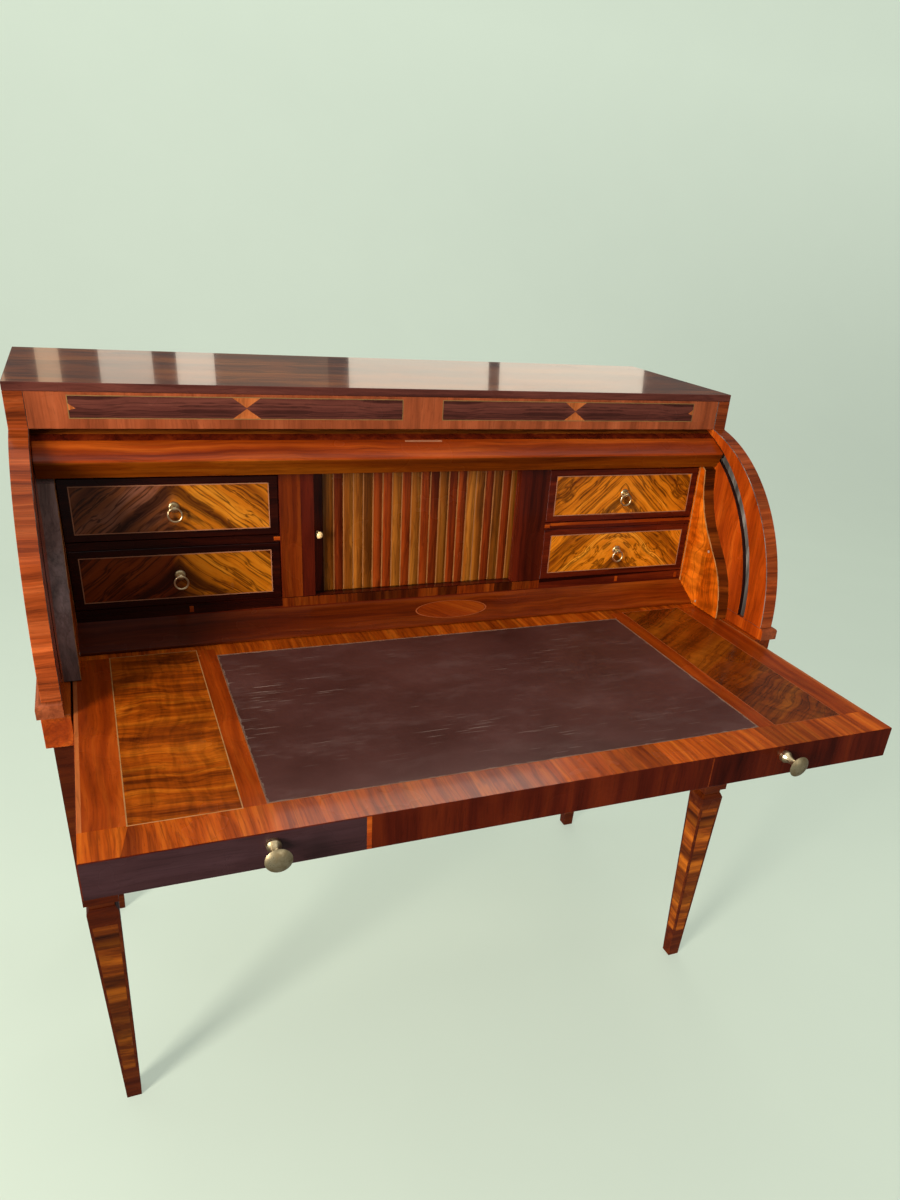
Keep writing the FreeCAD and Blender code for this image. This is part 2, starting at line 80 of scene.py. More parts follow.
class Tree:
    """A material's node tree, built one node at a time."""

    def __init__(self, name):
        self.material = bpy.data.materials.new(name)
        self.material.use_nodes = True
        self.nodes = self.material.node_tree.nodes
        self.links = self.material.node_tree.links
        self.shader = self.nodes["Principled BSDF"]

    def put(self, socket, value):
        if isinstance(value, bpy.types.NodeSocket):
            self.links.new(value, socket)
        elif hasattr(value, "__len__") and socket.type == "RGBA":
            socket.default_value = (*value, 1)
        else:
            socket.default_value = value

    def add(self, kind, settings=None, **inputs):
        node = self.nodes.new("ShaderNode" + kind)
        for key, value in (settings or {}).items():
            setattr(node, key, value)
        for key, value in inputs.items():
            self.put(node.inputs[key.replace("_", " ")], value)
        return node

    def math(self, operation, a, b=None, clamp=False):
        node = self.add("Math", {"operation": operation, "use_clamp": clamp})
        self.put(node.inputs[0], a)
        if b is not None:
            self.put(node.inputs[1], b)
        return node.outputs[0]

    def mix(self, factor, a, b, blend="MIX"):
        node = self.add("Mix", {"data_type": "RGBA", "blend_type": blend})
        self.put(node.inputs[0], factor)
        self.put(node.inputs[MIX_A], a)
        self.put(node.inputs[MIX_B], b)
        return node.outputs[MIX_RESULT]

    def times(self, colour, factor):
        return self.mix(1.0, colour, factor, "MULTIPLY")

    def marked(self, colour, mask, depth, tone):
        """The colour with a tone laid over it where a mask is bright."""
        return self.mix(self.math("MULTIPLY", mask, depth), colour, tone)

    def ramp(self, value, stops):
        node = self.add("ValToRGB")
        elements = node.color_ramp.elements
        while len(elements) < len(stops):
            elements.new(1)
        for element, (place, colour) in zip(elements, stops):
            element.position = place
            element.color = (*colour, 1) if hasattr(colour, "__len__") else (colour, colour, colour, 1)
        self.put(node.inputs[0], value)
        return node.outputs[0]

    def noise(self, vector, scale, detail=2.0, roughness=0.5, distortion=0.0):
        node = self.add("TexNoise", Vector=vector, Scale=scale, Detail=detail, Roughness=roughness)
        self.put(node.inputs["Distortion"], distortion)
        return node.outputs[0]

    def mapped(self, vector, scale=(1, 1, 1), turn=0.0, shift=(0, 0, 0)):
        node = self.add("Mapping", Vector=vector, Scale=scale, Location=shift)
        node.inputs["Rotation"].default_value = (0, 0, turn)
        return node.outputs[0]

    def place(self, source="Object"):
        return self.add("TexCoord").outputs[source]

    def split(self, vector):
        return self.add("SeparateXYZ", Vector=vector).outputs

    def joined(self, x, y, z):
        return self.add("CombineXYZ", X=x, Y=y, Z=z).outputs[0]

    def bump(self, height, strength, distance):
        node = self.add("Bump", Strength=strength, Distance=distance, Height=height)
        self.put(self.shader.inputs["Normal"], node.outputs[0])

    def finish(self, **values):
        for key, value in values.items():
            self.put(self.shader.inputs[key.replace("_", " ")], value)
        return self.material


# Tones of the woods: the dark, middle and light of each ground

WALNUT = ((0.070, 0.013, 0.002), (0.230, 0.050, 0.005), (0.380, 0.110, 0.012))
GOLD_WALNUT = ((0.120, 0.023, 0.001), (0.470, 0.130, 0.004), (0.640, 0.230, 0.015))
SLIDE_WALNUT = ((0.110, 0.016, 0.001), (0.320, 0.056, 0.002), (0.500, 0.120, 0.006))
DEEP_WALNUT = ((0.030, 0.006, 0.001), (0.120, 0.022, 0.002), (0.220, 0.046, 0.004))
ORANGE = ((0.150, 0.016, 0.001), (0.270, 0.036, 0.002), (0.430, 0.080, 0.006))
ROSE = ((0.190, 0.040, 0.012), (0.300, 0.066, 0.020), (0.400, 0.100, 0.034))
HONEY = ((0.300, 0.042, 0.001), (0.560, 0.090, 0.002), (0.740, 0.170, 0.008))
BRIGHT = ((0.220, 0.027, 0.001), (0.470, 0.076, 0.003), (0.660, 0.145, 0.009))
LEG_GOLD = ((0.060, 0.009, 0.001), (0.210, 0.040, 0.002), (0.400, 0.100, 0.005))
RED = ((0.034, 0.003, 0.001), (0.085, 0.008, 0.002), (0.150, 0.018, 0.003))
# Painted shade: the near-black tones that fill the grooves in the side panels
GROOVE_SHADE_TONES = ((0.006, 0.0014, 0.0012), (0.018, 0.0038, 0.0030), (0.036, 0.008, 0.006))
PURPLE = ((0.026, 0.006, 0.004), (0.080, 0.020, 0.014), (0.130, 0.036, 0.024))
OLIVE = ((0.110, 0.026, 0.002), (0.270, 0.072, 0.006), (0.430, 0.150, 0.018))
RUSSET = ((0.090, 0.010, 0.001), (0.230, 0.030, 0.003), (0.340, 0.056, 0.006))
PLAIN = ((0.20, 0.09, 0.03), (0.34, 0.17, 0.065), (0.46, 0.26, 0.11))
# Painted shade and reflection: a dark purple for the left end of the slide's front edge
PAINTED_SHADE_PURPLE = ((0.024, 0.009, 0.010), (0.036, 0.014, 0.016), (0.048, 0.021, 0.025))
# Painted reflection: the grey of the sky laid into the left cheek's front edge
PAINTED_SKY_GREY = ((0.090, 0.052, 0.044), (0.180, 0.108, 0.096), (0.290, 0.180, 0.165))
AMBER = ((0.240, 0.055, 0.012), (0.420, 0.110, 0.026), (0.550, 0.165, 0.045))
BLUSH = ((0.115, 0.016, 0.002), (0.310, 0.052, 0.008), (0.470, 0.100, 0.022))
GREY = ((0.012, 0.009, 0.008), (0.090, 0.078, 0.068), (0.260, 0.230, 0.200))


def scaled(colour, share):
    return tuple(share * c for c in colour)


def dimmed(tones, share):
    return tuple(scaled(tone, share) for tone in tones)


def stretch(along, low, high):
    """Texture scales of a grain that runs along one axis."""
    return tuple(low if axis == along else high for axis in "XYZ")


# Scales of the wood textures: along the grain, and across it where the figure doesn't set them
BEND_SCALE = 7.0
GROUND_ALONG = 2.2
STREAK_ALONG = 1.3
STREAK_FINENESS = 1.7
STREAK_SHIFT = (0.3, 1.7, 0.9)
FIBRE_ALONG, FIBRE_ACROSS = 14.0, 420.0
PORE_ALONG, PORE_FINENESS = 60.0, 2.2
RIPPLE_ALONG, RIPPLE_ACROSS = 110.0, 16.0
WEAR_SCALE = 9.0

# The marks' tones as shares of the dark tone, the pores' strength, the sway of the joints between banded pieces
# as a share of their length, the spread of roughness by wear, and the relief of the fibres
STREAK_TONE, PORE_TONE, FLAME_TONE = 0.25, 0.3, 0.4
PORE_STRENGTH = 0.35
JOINT_SWAY = 0.25
WEAR_ROUGHNESS = 0.16
FIBRE_RELIEF = 0.08
FIBRE_DEPTH = 0.2 * MM


def wood(name, tones, along="X", turn=0.0, mirror=False, figure=26.0, streaks=0.5, wave=0.02, ripple=0.0,
         flame=None, band=None, band_tone=0.4, half_shade=None, shade_edge=0.02, shift=(0, 0, 0),
         source="Object", roughness=0.26, gloss=0.14, coat=0.10, coat_roughness=0.06):
    """Polished veneer: a figured ground with dark streaks, fine fibres and pores along the grain.

    mirror book-matches the figure about x = 0, and ripple is the strength of dark bars across the grain. band is
    the axis and the length of cross-banded pieces, each with its own tone. flame is the place, half width and
    depth of one dark streak along the grain. half_shade multiplies the half on the minus side of x by a tint, as
    painted shade, with shade_edge the width of the change."""
    t = Tree(name)
    dark, middle, light = tones
    place = t.place(source)
    x, y, z = t.split(place)
    where = t.joined(t.math("ABSOLUTE", x), y, z) if mirror else place
    where = t.mapped(where, turn=turn, shift=shift)
    bend = t.noise(where, BEND_SCALE, 2.0)
    bent = t.add("VectorMath", {"operation": "MULTIPLY_ADD"})
    t.put(bent.inputs[0], t.joined(bend, bend, bend))
    t.put(bent.inputs[1], (wave, wave, wave))
    t.put(bent.inputs[2], where)
    bent = bent.outputs[0]

    ground = t.noise(t.mapped(bent, stretch(along, GROUND_ALONG, figure)), 1.0, 4.0, 0.58, 0.4)
    colour = t.ramp(ground, [(0.3, dark), (0.5, middle), (0.7, light)])
    line = t.mapped(bent, stretch(along, STREAK_ALONG, figure * STREAK_FINENESS), shift=STREAK_SHIFT)
    line = t.noise(line, 1.0, 3.0, 0.6, 0.3)
    line = t.math("ABSOLUTE", t.math("SUBTRACT", line, 0.5))
    line = t.ramp(line, [(0.0, 1.0), (0.022, 0.65), (0.055, 0.0)])
    colour = t.marked(colour, line, streaks, scaled(dark, STREAK_TONE))
    thread = t.noise(t.mapped(bent, stretch(along, FIBRE_ALONG, FIBRE_ACROSS)), 1.0, 2.0, 0.6)
    colour = t.times(colour, t.ramp(thread, [(0.25, 0.72), (0.5, 1.0), (0.75, 1.0)]))
    pore = t.noise(t.mapped(bent, stretch(along, PORE_ALONG, FIBRE_ACROSS * PORE_FINENESS)), 1.0, 1.0)
    pore = t.ramp(pore, [(0.66, 0.0), (0.74, 1.0)])
    colour = t.marked(colour, pore, PORE_STRENGTH, scaled(dark, PORE_TONE))
    if ripple:
        bars = t.noise(t.mapped(bent, stretch(along, RIPPLE_ALONG, RIPPLE_ACROSS)), 1.0, 2.0)
        colour = t.mix(ripple, colour, t.times(colour, t.ramp(bars, [(0.35, 0.35), (0.6, 1.0)])))
    if flame:
        offset, width, depth = flame
        away = t.math("SUBTRACT", t.split(bent)[1], offset + shift[1] + wave / 2)
        away = t.math("DIVIDE", t.math("ABSOLUTE", away), width)
        away = t.ramp(away, [(0.0, 1.0), (0.4, 0.8), (1.0, 0.0)])
        colour = t.marked(colour, away, depth, scaled(dark, FLAME_TONE))
    if band:
        axis, length = band
        sway = t.math("MULTIPLY", t.math("SUBTRACT", bend, 0.5), length * JOINT_SWAY)
        run = t.math("ADD", {"X": x, "Y": y, "Z": z}[axis], sway)
        tone = t.add("TexWhiteNoise", {"noise_dimensions": "1D"})
        t.put(tone.inputs["W"], t.math("FLOOR", t.math("DIVIDE", run, length)))
        colour = t.times(colour, t.ramp(tone.outputs[0], [(0.0, 1.0 - band_tone), (1.0, 1.0)]))
    # Painted shade: the half on the minus side of x is multiplied by the tint
    if half_shade:
        side = t.math("ADD", t.math("DIVIDE", x, -shade_edge), 0.5, clamp=True)
        colour = t.mix(side, colour, t.times(colour, half_shade))
    wear = t.noise(place, WEAR_SCALE, 3.0)
    colour = t.times(colour, t.ramp(wear, [(0.3, 0.82), (0.7, 1.0)]))
    rough = t.math("ADD", t.math("MULTIPLY", wear, WEAR_ROUGHNESS), roughness - WEAR_ROUGHNESS / 2)
    t.bump(t.math("SUBTRACT", thread, pore), FIBRE_RELIEF, FIBRE_DEPTH)
    return t.finish(Base_Color=colour, Roughness=rough, Specular_IOR_Level=gloss, Coat_Weight=coat,
                    Coat_Roughness=coat_roughness)


LINE_DARK, LINE_LIGHT = 0.5, 1.3


def string_line(name, colour):
    """Stringing of one colour, slightly uneven along its length."""
    t = Tree(name)
    tone = t.noise(t.place(), 60.0, 3.0)
    colour = t.mix(tone, scaled(colour, LINE_DARK), scaled(colour, LINE_LIGHT))
    return t.finish(Base_Color=colour, Roughness=0.35, Specular_IOR_Level=0.2)


BRASS_RELIEF = 0.1 * MM
BRASS_BROWN, BRASS_BRIGHT = (0.42, 0.31, 0.16), (0.80, 0.66, 0.40)
BRASS_LINES = (1200, 1200, 200)


def brass(name):
    """Handled brass: bright on the worn places, brown where polish never reached."""
    t = Tree(name)
    place = t.place()
    stain = t.ramp(t.noise(place, 90.0, 4.0, 0.65), [(0.35, 0.0), (0.65, 1.0)])
    colour = t.mix(stain, BRASS_BROWN, BRASS_BRIGHT)
    t.bump(t.noise(t.mapped(place, BRASS_LINES), 1.0, 2.0), 0.08, BRASS_RELIEF)
    rough = t.math("SUBTRACT", 0.46, t.math("MULTIPLY", stain, 0.2))
    return t.finish(Base_Color=colour, Metallic=1.0, Roughness=rough)


BONE_RELIEF = 0.1 * MM
BONE_DARK, BONE_LIGHT = (0.75, 0.42, 0.14), (0.95, 0.68, 0.34)
BONE_GRAIN = (300, 300, 900)


def bone(name):
    t = Tree(name)
    grain = t.noise(t.mapped(t.place(), BONE_GRAIN), 1.0, 3.0)
    colour = t.ramp(grain, [(0.3, BONE_DARK), (0.6, BONE_LIGHT)])
    t.bump(grain, 0.06, BONE_RELIEF)
    return t.finish(Base_Color=colour, Roughness=0.35, Coat_Weight=0.3)


HIDE_DARK, HIDE_MIDDLE, HIDE_LIGHT = (0.040, 0.011, 0.008), (0.062, 0.020, 0.016), (0.085, 0.034, 0.029)
HIDE_DUST, HIDE_SCRATCH, HIDE_FRAY = (0.13, 0.075, 0.066), (0.34, 0.26, 0.22), (0.26, 0.18, 0.14)
HIDE_CELLS = 900.0
HIDE_RELIEF = 0.25 * MM
FRAY_REACH = 9 * MM
FRAY_SETBACK = 3.6 * MM

# The turn of each set of scratches, and its scales along and across them
SCRATCHES = ((0.32, 14, 420), (-0.5, 20, 560), (1.3, 16, 500))


def worn_leather(name, low, high):
    """Dark hide between two corners, with a fine grain, dusty scuffs and a frayed edge.

    Its pale scratches are strongest at the left end."""
    t = Tree(name)
    place = t.place()
    x, y, _ = t.split(place)
    cell = t.add("TexVoronoi", {"feature": "DISTANCE_TO_EDGE"}, Vector=place, Scale=HIDE_CELLS)
    crease = t.ramp(cell.outputs[0], [(0.0, 0.0), (0.12, 1.0)])
    cloud = t.noise(place, 6.0, 5.0, 0.6)
    colour = t.ramp(cloud, [(0.3, HIDE_DARK), (0.55, HIDE_MIDDLE), (0.75, HIDE_LIGHT)])
    dust = t.noise(t.mapped(place, (9, 22, 9), turn=0.25), 1.0, 6.0, 0.7)
    colour = t.mix(t.ramp(dust, [(0.52, 0.0), (0.78, 0.4)]), colour, HIDE_DUST)
    marks = []
    for turn, wide, thin in SCRATCHES:
        mark = t.noise(t.mapped(place, (wide, thin, wide), turn=turn), 1.0, 1.0)
        patch = t.noise(t.mapped(place, (5, 5, 5), shift=(turn, thin, 0)), 1.0, 2.0)
        mark = t.ramp(mark, [(0.70, 0.0), (0.76, 1.0)])
        marks.append(t.math("MULTIPLY", mark, t.ramp(patch, [(0.52, 0.0), (0.62, 1.0)])))
    mark = t.math("MAXIMUM", t.math("MAXIMUM", marks[0], marks[1]), marks[2])
    along = t.math("DIVIDE", t.math("SUBTRACT", x, low.x), high.x - low.x)
    mark = t.math("MULTIPLY", mark, t.ramp(along, [(0.0, 0.8), (0.35, 0.4), (1.0, 0.2)]))
    colour = t.mix(mark, colour, HIDE_SCRATCH)
    inset_x = t.math("MINIMUM", t.math("SUBTRACT", x, low.x), t.math("SUBTRACT", high.x, x))
    inset_y = t.math("MINIMUM", t.math("SUBTRACT", y, low.y), t.math("SUBTRACT", high.y, y))
    ragged = t.math("MULTIPLY", t.noise(place, 70.0, 4.0, 0.7), FRAY_REACH)
    inset = t.math("MINIMUM", inset_x, inset_y)
    fray = t.math("LESS_THAN", inset, t.math("SUBTRACT", ragged, FRAY_SETBACK))
    colour = t.marked(colour, fray, 0.5, HIDE_FRAY)
    rough = t.math("ADD", t.math("MULTIPLY", dust, 0.3), 0.30)
    t.bump(crease, 0.16, HIDE_RELIEF)
    return t.finish(Base_Color=colour, Roughness=rough, Specular_IOR_Level=0.2)


# Meshes

def plane(origin, u, v):
    """The place of a face: u and v lie in it, and its own z points out of it."""
    u, v = Vector(u).normalized(), Vector(v).normalized()
    w = u.cross(v)
    return Matrix((
        (u.x, v.x, w.x, origin[0]),
        (u.y, v.y, w.y, origin[1]),
        (u.z, v.z, w.z, origin[2]),
        (0, 0, 0, 1)))


def front_plane(x, y, z):
    return plane((x, y, z), (1, 0, 0), (0, 0, 1))


def level_plane(x, y, z):
    return plane((x, y, z), (1, 0, 0), (0, 1, 0))


def add_piece(name, mesh, place, materials, body):
    piece = bpy.data.objects.new(name, mesh)
    bpy.context.scene.collection.objects.link(piece)
    piece.matrix_world = place
    for material in materials:
        mesh.materials.append(material)
    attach(piece, body)
    return piece


def prism(bm, outline, low, high, hole=None):
    """A thin closed plate with an outline, and with a hole of as many corners if one is given."""
    def loop(points, z):
        return [bm.verts.new((x, y, z)) for x, y in points]

    top, bottom = loop(outline, high), loop(outline, low)
    count = len(outline)
    pairs = [(k, (k + 1) % count) for k in range(count)]
    for a, b in pairs:
        bm.faces.new((bottom[a], bottom[b], top[b], top[a]))
    if hole is None:
        bm.faces.new(top)
        bm.faces.new(bottom[::-1])
        return
    inner_top, inner_bottom = loop(hole, high), loop(hole, low)
    for a, b in pairs:
        bm.faces.new((top[a], top[b], inner_top[b], inner_top[a]))
        bm.faces.new((bottom[b], bottom[a], inner_bottom[a], inner_bottom[b]))
        bm.faces.new((inner_top[a], inner_top[b], inner_bottom[b], inner_bottom[a]))


def inlay(name, outlines, place, material, body, proud=VENEER_PROUD, holes=None):
    """One piece of thin veneer let into a face. Its outlines run anticlockwise, seen from outside."""
    bm = bmesh.new()
    for index, outline in enumerate(outlines):
        prism(bm, outline, -VENEER_SINK, proud, holes[index] if holes else None)
    mesh = bpy.data.meshes.new(name)
    bm.to_mesh(mesh)
    bm.free()
    return add_piece(name, mesh, place, [material], body)


def rectangle(x0, x1, y0, y1):
    return [(x0, y0), (x1, y0), (x1, y1), (x0, y1)]


def centred(width, height):
    return rectangle(-width / 2, width / 2, -height / 2, height / 2)


def framed(name, size, place, panel, line, body, width=LINE_WIDTH):
    """A veneered panel about the middle of its place, with a line of stringing round it."""
    inlay(name + "_veneer", [centred(*size)], place, panel, body)
    outer = centred(size[0] + 2 * width, size[1] + 2 * width)
    inlay(name + "_stringing", [outer], place, line, body, LINE_PROUD, [centred(*size)])


def ribbon(points, width):
    """The outline of a strip of even width on the left of a line of points."""
    other = []
    for k, (x, y) in enumerate(points):
        a = points[max(k - 1, 0)]
        b = points[min(k + 1, len(points) - 1)]
        along = Vector((b[0] - a[0], b[1] - a[1])).normalized()
        other.append((x - along.y * width, y + along.x * width))
    return points + other[::-1]


def paint(node, *choices, smooth=False):
    """Gives a CAD node its materials. Each choice is a material and a test of a face's middle and normal."""
    mesh = frame["nodes"][node].data
    mesh.materials.clear()
    for material, _ in choices:
        mesh.materials.append(material)
    for face in mesh.polygons:
        for index, (_, test) in enumerate(choices):
            if test is None or test(face.center, face.normal):
                face.material_index = index
                break
    if smooth:
        mesh.polygons.foreach_set("use_smooth", [True] * len(mesh.polygons))
        mesh.set_sharp_from_angle(angle=SMOOTH_ANGLE)


def front_profile(node, x):
    """The line of a board's front edge in the plane at x, from bottom to top, as (y, z)."""
    mesh = frame["nodes"][node].data
    low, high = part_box(node)
    found = {}
    for face in mesh.polygons:
        corners = [mesh.vertices[k].co for k in face.vertices]
        across = max(c.x for c in corners) - min(c.x for c in corners)
        if face.normal.y < -TURNING and across > high.x - low.x - TOUCH:
            found.update({round(c.z, 5): c.y for c in corners if abs(c.x - x) < TOUCH})
    return [(y, z) for z, y in sorted(found.items())]


# Materials that more than one piece shares

line_pale = string_line("pale_stringing", (0.34, 0.155, 0.05))
line_rose = string_line("rosy_stringing", (0.32, 0.13, 0.065))
line_green = string_line("greenish_stringing", (0.20, 0.11, 0.035))
line_dim = string_line("dim_stringing", (0.26, 0.055, 0.012))
inlay_orange = wood("orange_inlay", AMBER, along="Y", figure=60, streaks=0.35)
drawer_frame = wood("dark_frame", dimmed(RED, 0.95), along="X", figure=60, streaks=0.3, coat=0.05)
# Painted shadow: a darker copy of the frame wood, for the left of the interior
painted_shadow_frame = wood("painted_shadow_frame", dimmed(RED, 0.2), along="X", figure=60, streaks=0.3, coat=0.05)
long_band = wood("long_band", ORANGE, along="Y", figure=30, streaks=0.25, coat=0.05)
side_band = wood("side_band", BLUSH, along="X", figure=75, streaks=0.35, band=("Z", 0.055))
orange_red = wood("orange_red_wood", dimmed(ORANGE, 1.35), along="Z", figure=30, streaks=0.3, wave=0.04)
red_wood = wood("red_wood", RED, along="Z", figure=40, streaks=0.3)
plain_wood = wood("plain_wood", PLAIN, along="X", figure=18, streaks=0.2, roughness=0.6, coat=0.0)
block_wood = wood("block_wood", ORANGE, along="X", figure=60, streaks=0.1)
# Painted shade: near-black wood laid in the grooves, where shade falls
groove_painted_shade = wood("groove_painted_shade", GROOVE_SHADE_TONES, along="Z", figure=30, streaks=0.2, roughness=0.55, coat=0.0)
groove_worn = wood("groove_worn", GREY, along="Z", figure=40, streaks=0.4, roughness=0.5, coat=0.0)
brass_metal = brass("handled_brass")

turn_joint = next(joint for joint in frame["joints"] if joint["name"] == "cylinder_turn")
cylinder_axis = Vector(turn_joint["pos_m"])


# Case

def dress_top():
    top = wood("polished_top", WALNUT, along="X", mirror=True, figure=14, streaks=0.6, wave=0.06,
               roughness=0.10, coat=0.35, coat_roughness=0.015)
    edge = wood("top_edge", PURPLE, along="X", figure=60, streaks=0.2)
    paint("top_board", (top, lambda c, n: n.z > FACING), (edge, None))


FRIEZE_PANEL_IN = 34 * MM
FRIEZE_PANEL_OUT = 512 * MM
FRIEZE_PANEL_LOW = 15 * MM
FRIEZE_PANEL_HEIGHT = 29 * MM
FRIEZE_LINE = 1.2 * MM
HOURGLASS_WIDTH = 40 * MM
HOURGLASS_WAIST = 0.6 * MM
TIP_LENGTH = 9 * MM
TIP_HALF = 4.5 * MM
TIP_DROP = 2 * MM


def dress_frieze():
    low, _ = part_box("frieze_rail")
    field = wood("frieze_field", ROSE, along="Z", figure=34, streaks=0.12, band=("X", 0.11), band_tone=0.2)
    paint("frieze_rail", (field, None))
    panel = wood("frieze_panel", PURPLE, along="X", mirror=True, figure=80, streaks=0.6)
    width = FRIEZE_PANEL_OUT - FRIEZE_PANEL_IN
    for name, side in SIDES.items():
        place = front_plane(side * (FRIEZE_PANEL_IN + FRIEZE_PANEL_OUT) / 2, low.y,
                            low.z + FRIEZE_PANEL_LOW + FRIEZE_PANEL_HEIGHT / 2)
        framed(name + "_frieze_panel", (width, FRIEZE_PANEL_HEIGHT), place, panel, line_green, "case",
               FRIEZE_LINE)
        x, y = HOURGLASS_WIDTH / 2, FRIEZE_PANEL_HEIGHT / 2
        glass = [[(-x, y), (0, HOURGLASS_WAIST), (x, y)], [(x, -y), (0, -HOURGLASS_WAIST), (-x, -y)]]
        inlay(name + "_frieze_hourglass", glass, place, inlay_orange, "case", LINE_PROUD)
        end = side * width / 2
        tip = [(end, TIP_HALF), (end, -TIP_HALF), (end - side * TIP_LENGTH, -TIP_DROP)]
        inlay(name + "_frieze_tip", [tip[::-side]], place, inlay_orange, "case", LINE_PROUD)


GROOVE_DEPTH = 7 * MM


def dress_sides():
    outer = wood("side_walnut", WALNUT, along="Z", figure=13, streaks=0.6, wave=0.05)
    moulding = wood("moulding_wood", dimmed(ROSE, 0.75), along="Y", figure=40, streaks=0.3)
    for name, side in SIDES.items():
        low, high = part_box(name + "_side_panel")
        inner_x = low.x if side > 0 else high.x

        def in_groove(c, n):
            return TOUCH < (c.x - inner_x) * side < GROOVE_DEPTH + TOUCH

        def worn(c, n):
            return in_groove(c, n) and ((c - cylinder_axis).dot(n) < 0 or n.x < -LEANING)

        # Inside each groove, the faces that are not worn grey are painted near-black as painted shade
        paint(name + "_side_panel",
              (groove_worn, worn),
              (groove_painted_shade, in_groove),
              (outer, lambda c, n: n.x * side > FACING),
              (orange_red, lambda c, n: n.x * side < -FACING),
              (side_band, None), smooth=True)
        paint(name + "_base_moulding",
              (orange_red, lambda c, n: n.x * side < -LEANING),
              (moulding, None), smooth=True)
        paint(name + "_belt_rail", (long_band, None))
        paint(name + "_lower_panel", (outer, None))


LEG_TOP = 423 * MM
LEG_TOP_HALF = 23 * MM
FOOT_HALF = 12 * MM
LEG_PANEL_LOW = 72 * MM
LEG_PANEL_HIGH = 398 * MM
LEG_EDGE = 4.2 * MM
# Painted light and shade: the left legs' woods are darker and the right legs' lighter
LEG_GROUND_PAINTED_LIGHT = {"left": 0.22, "right": 0.40}
LEG_PANEL_PAINTED_LIGHT = {"left": 0.75, "right": 1.9}
LEG_FACES = {"front": (0, -1, 0), "back": (0, 1, 0), "left": (-1, 0, 0), "right": (1, 0, 0)}


def leg_half(z):
    return FOOT_HALF + (LEG_TOP_HALF - FOOT_HALF) * z / LEG_TOP


def dress_legs():
    middle = (LEG_PANEL_LOW + LEG_PANEL_HIGH) / 2
    half = (LEG_PANEL_HIGH - LEG_PANEL_LOW) / 2
    foot, top = leg_half(LEG_PANEL_LOW) - LEG_EDGE, leg_half(LEG_PANEL_HIGH) - LEG_EDGE
    outline = [(-foot, -half), (foot, -half), (top, half), (-top, half)]
    grounds, panels = {}, {}
    for name in SIDES:
        grounds[name] = wood(name + "_leg_wood", dimmed(ORANGE, LEG_GROUND_PAINTED_LIGHT[name]), along="X", figure=50,
                             streaks=0.2)
        panels[name] = wood(name + "_leg_band", dimmed(LEG_GOLD, LEG_PANEL_PAINTED_LIGHT[name]), along="X", figure=46,
                            streaks=0.3, wave=0.03, band=("Y", 0.029), band_tone=0.6)
    for end in ("front", "rear"):
        for name in SIDES:
            node = "%s_%s_leg" % (end, name)
            paint(node, (grounds[name], None))
            low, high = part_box(node)
            centre = Vector(((low.x + high.x) / 2, (low.y + high.y) / 2, middle))
            for face, out in LEG_FACES.items():
                out = Vector(out)
                rise = out * (LEG_TOP_HALF - FOOT_HALF) + Vector((0, 0, LEG_TOP))
                place = plane(centre + out * leg_half(middle), Vector((0, 0, 1)).cross(out), rise)
                inlay("%s_%s_panel" % (node, face), [outline], place, panels[name], "case")


def dress_carcass():
    edge = wood("board_edge", dimmed(ORANGE, 0.5), along="Z", figure=60, streaks=0.4, band=("X", 0.12),
                band_tone=0.4)
    for node in ("slide_bed", "middle_board", "bottom_board"):
        paint(node, (edge, lambda c, n: n.y < -FACING), (plain_wood, None))
    for node in ("back_panel", "interior_back"):
        paint(node, (plain_wood, None))
    for level in LEVELS:
        paint(level + "_long_drawer_box", (plain_wood, None))
        paint(level + "_long_drawer_knobs", (brass_metal, None), smooth=True)
        for name in SIDES:
            paint("%s_%s_drawer_box" % (level, name), (plain_wood, None))


# Cylinder

LOCK_STRIP_WIDTH = 62 * MM
LOCK_STRIP_HEIGHT = 4 * MM
LOCK_STRIP_DROP = 4 * MM
# Width of a dark red cross-band on the shell along the rail, which also stands as painted shadow from the frieze
SHELL_BAND_AND_SHADOW = 16 * MM


def dress_cylinder():
    shell = wood("cylinder_walnut", WALNUT, along="X", mirror=True, figure=14, streaks=0.6, wave=0.05)
    rail = wood("rail_wood", ORANGE, along="X", figure=34, streaks=0.3)
    under = wood("rail_under", dimmed(SLIDE_WALNUT, 0.5), along="X", figure=40, streaks=0.2)
    corners = [vertex.co - cylinder_axis for vertex in frame["nodes"]["cylinder_rail"].data.vertices]
    radius = max(math.hypot(c.y, c.z) for c in corners)
    rail_top = math.asin(max(c.z for c in corners) / radius)

    def in_band_and_shadow(c, n):
        return math.atan2(c.z - cylinder_axis.z, cylinder_axis.y - c.y) < rail_top + SHELL_BAND_AND_SHADOW / radius

    # The band along the rail is partly cross-banding and partly painted shadow under the frieze
    paint("cylinder_shell", (red_wood, in_band_and_shadow), (shell, None), smooth=True)
    paint("cylinder_rail", (under, lambda c, n: n.z < 0), (rail, None), smooth=True)
    angle = rail_top - LOCK_STRIP_DROP / radius
    out = Vector((0, -math.cos(angle), math.sin(angle)))
    place = plane(cylinder_axis + out * radius, (1, 0, 0), (0, math.sin(angle), math.cos(angle)))
    inlay("lock_strip", [centred(LOCK_STRIP_WIDTH, LOCK_STRIP_HEIGHT)], place, line_rose, "cylinder",
          LINE_PROUD)


# Interior

CHEEK_LINE_WIDTH = 2.2 * MM
DRAWER_LINE_GAP = 3 * MM
DRAWER_LINE_HALF = 1 * MM
DRAWER_LINE_FOOT = 2 * MM
DRAWER_LINE_HEAD = 6 * MM


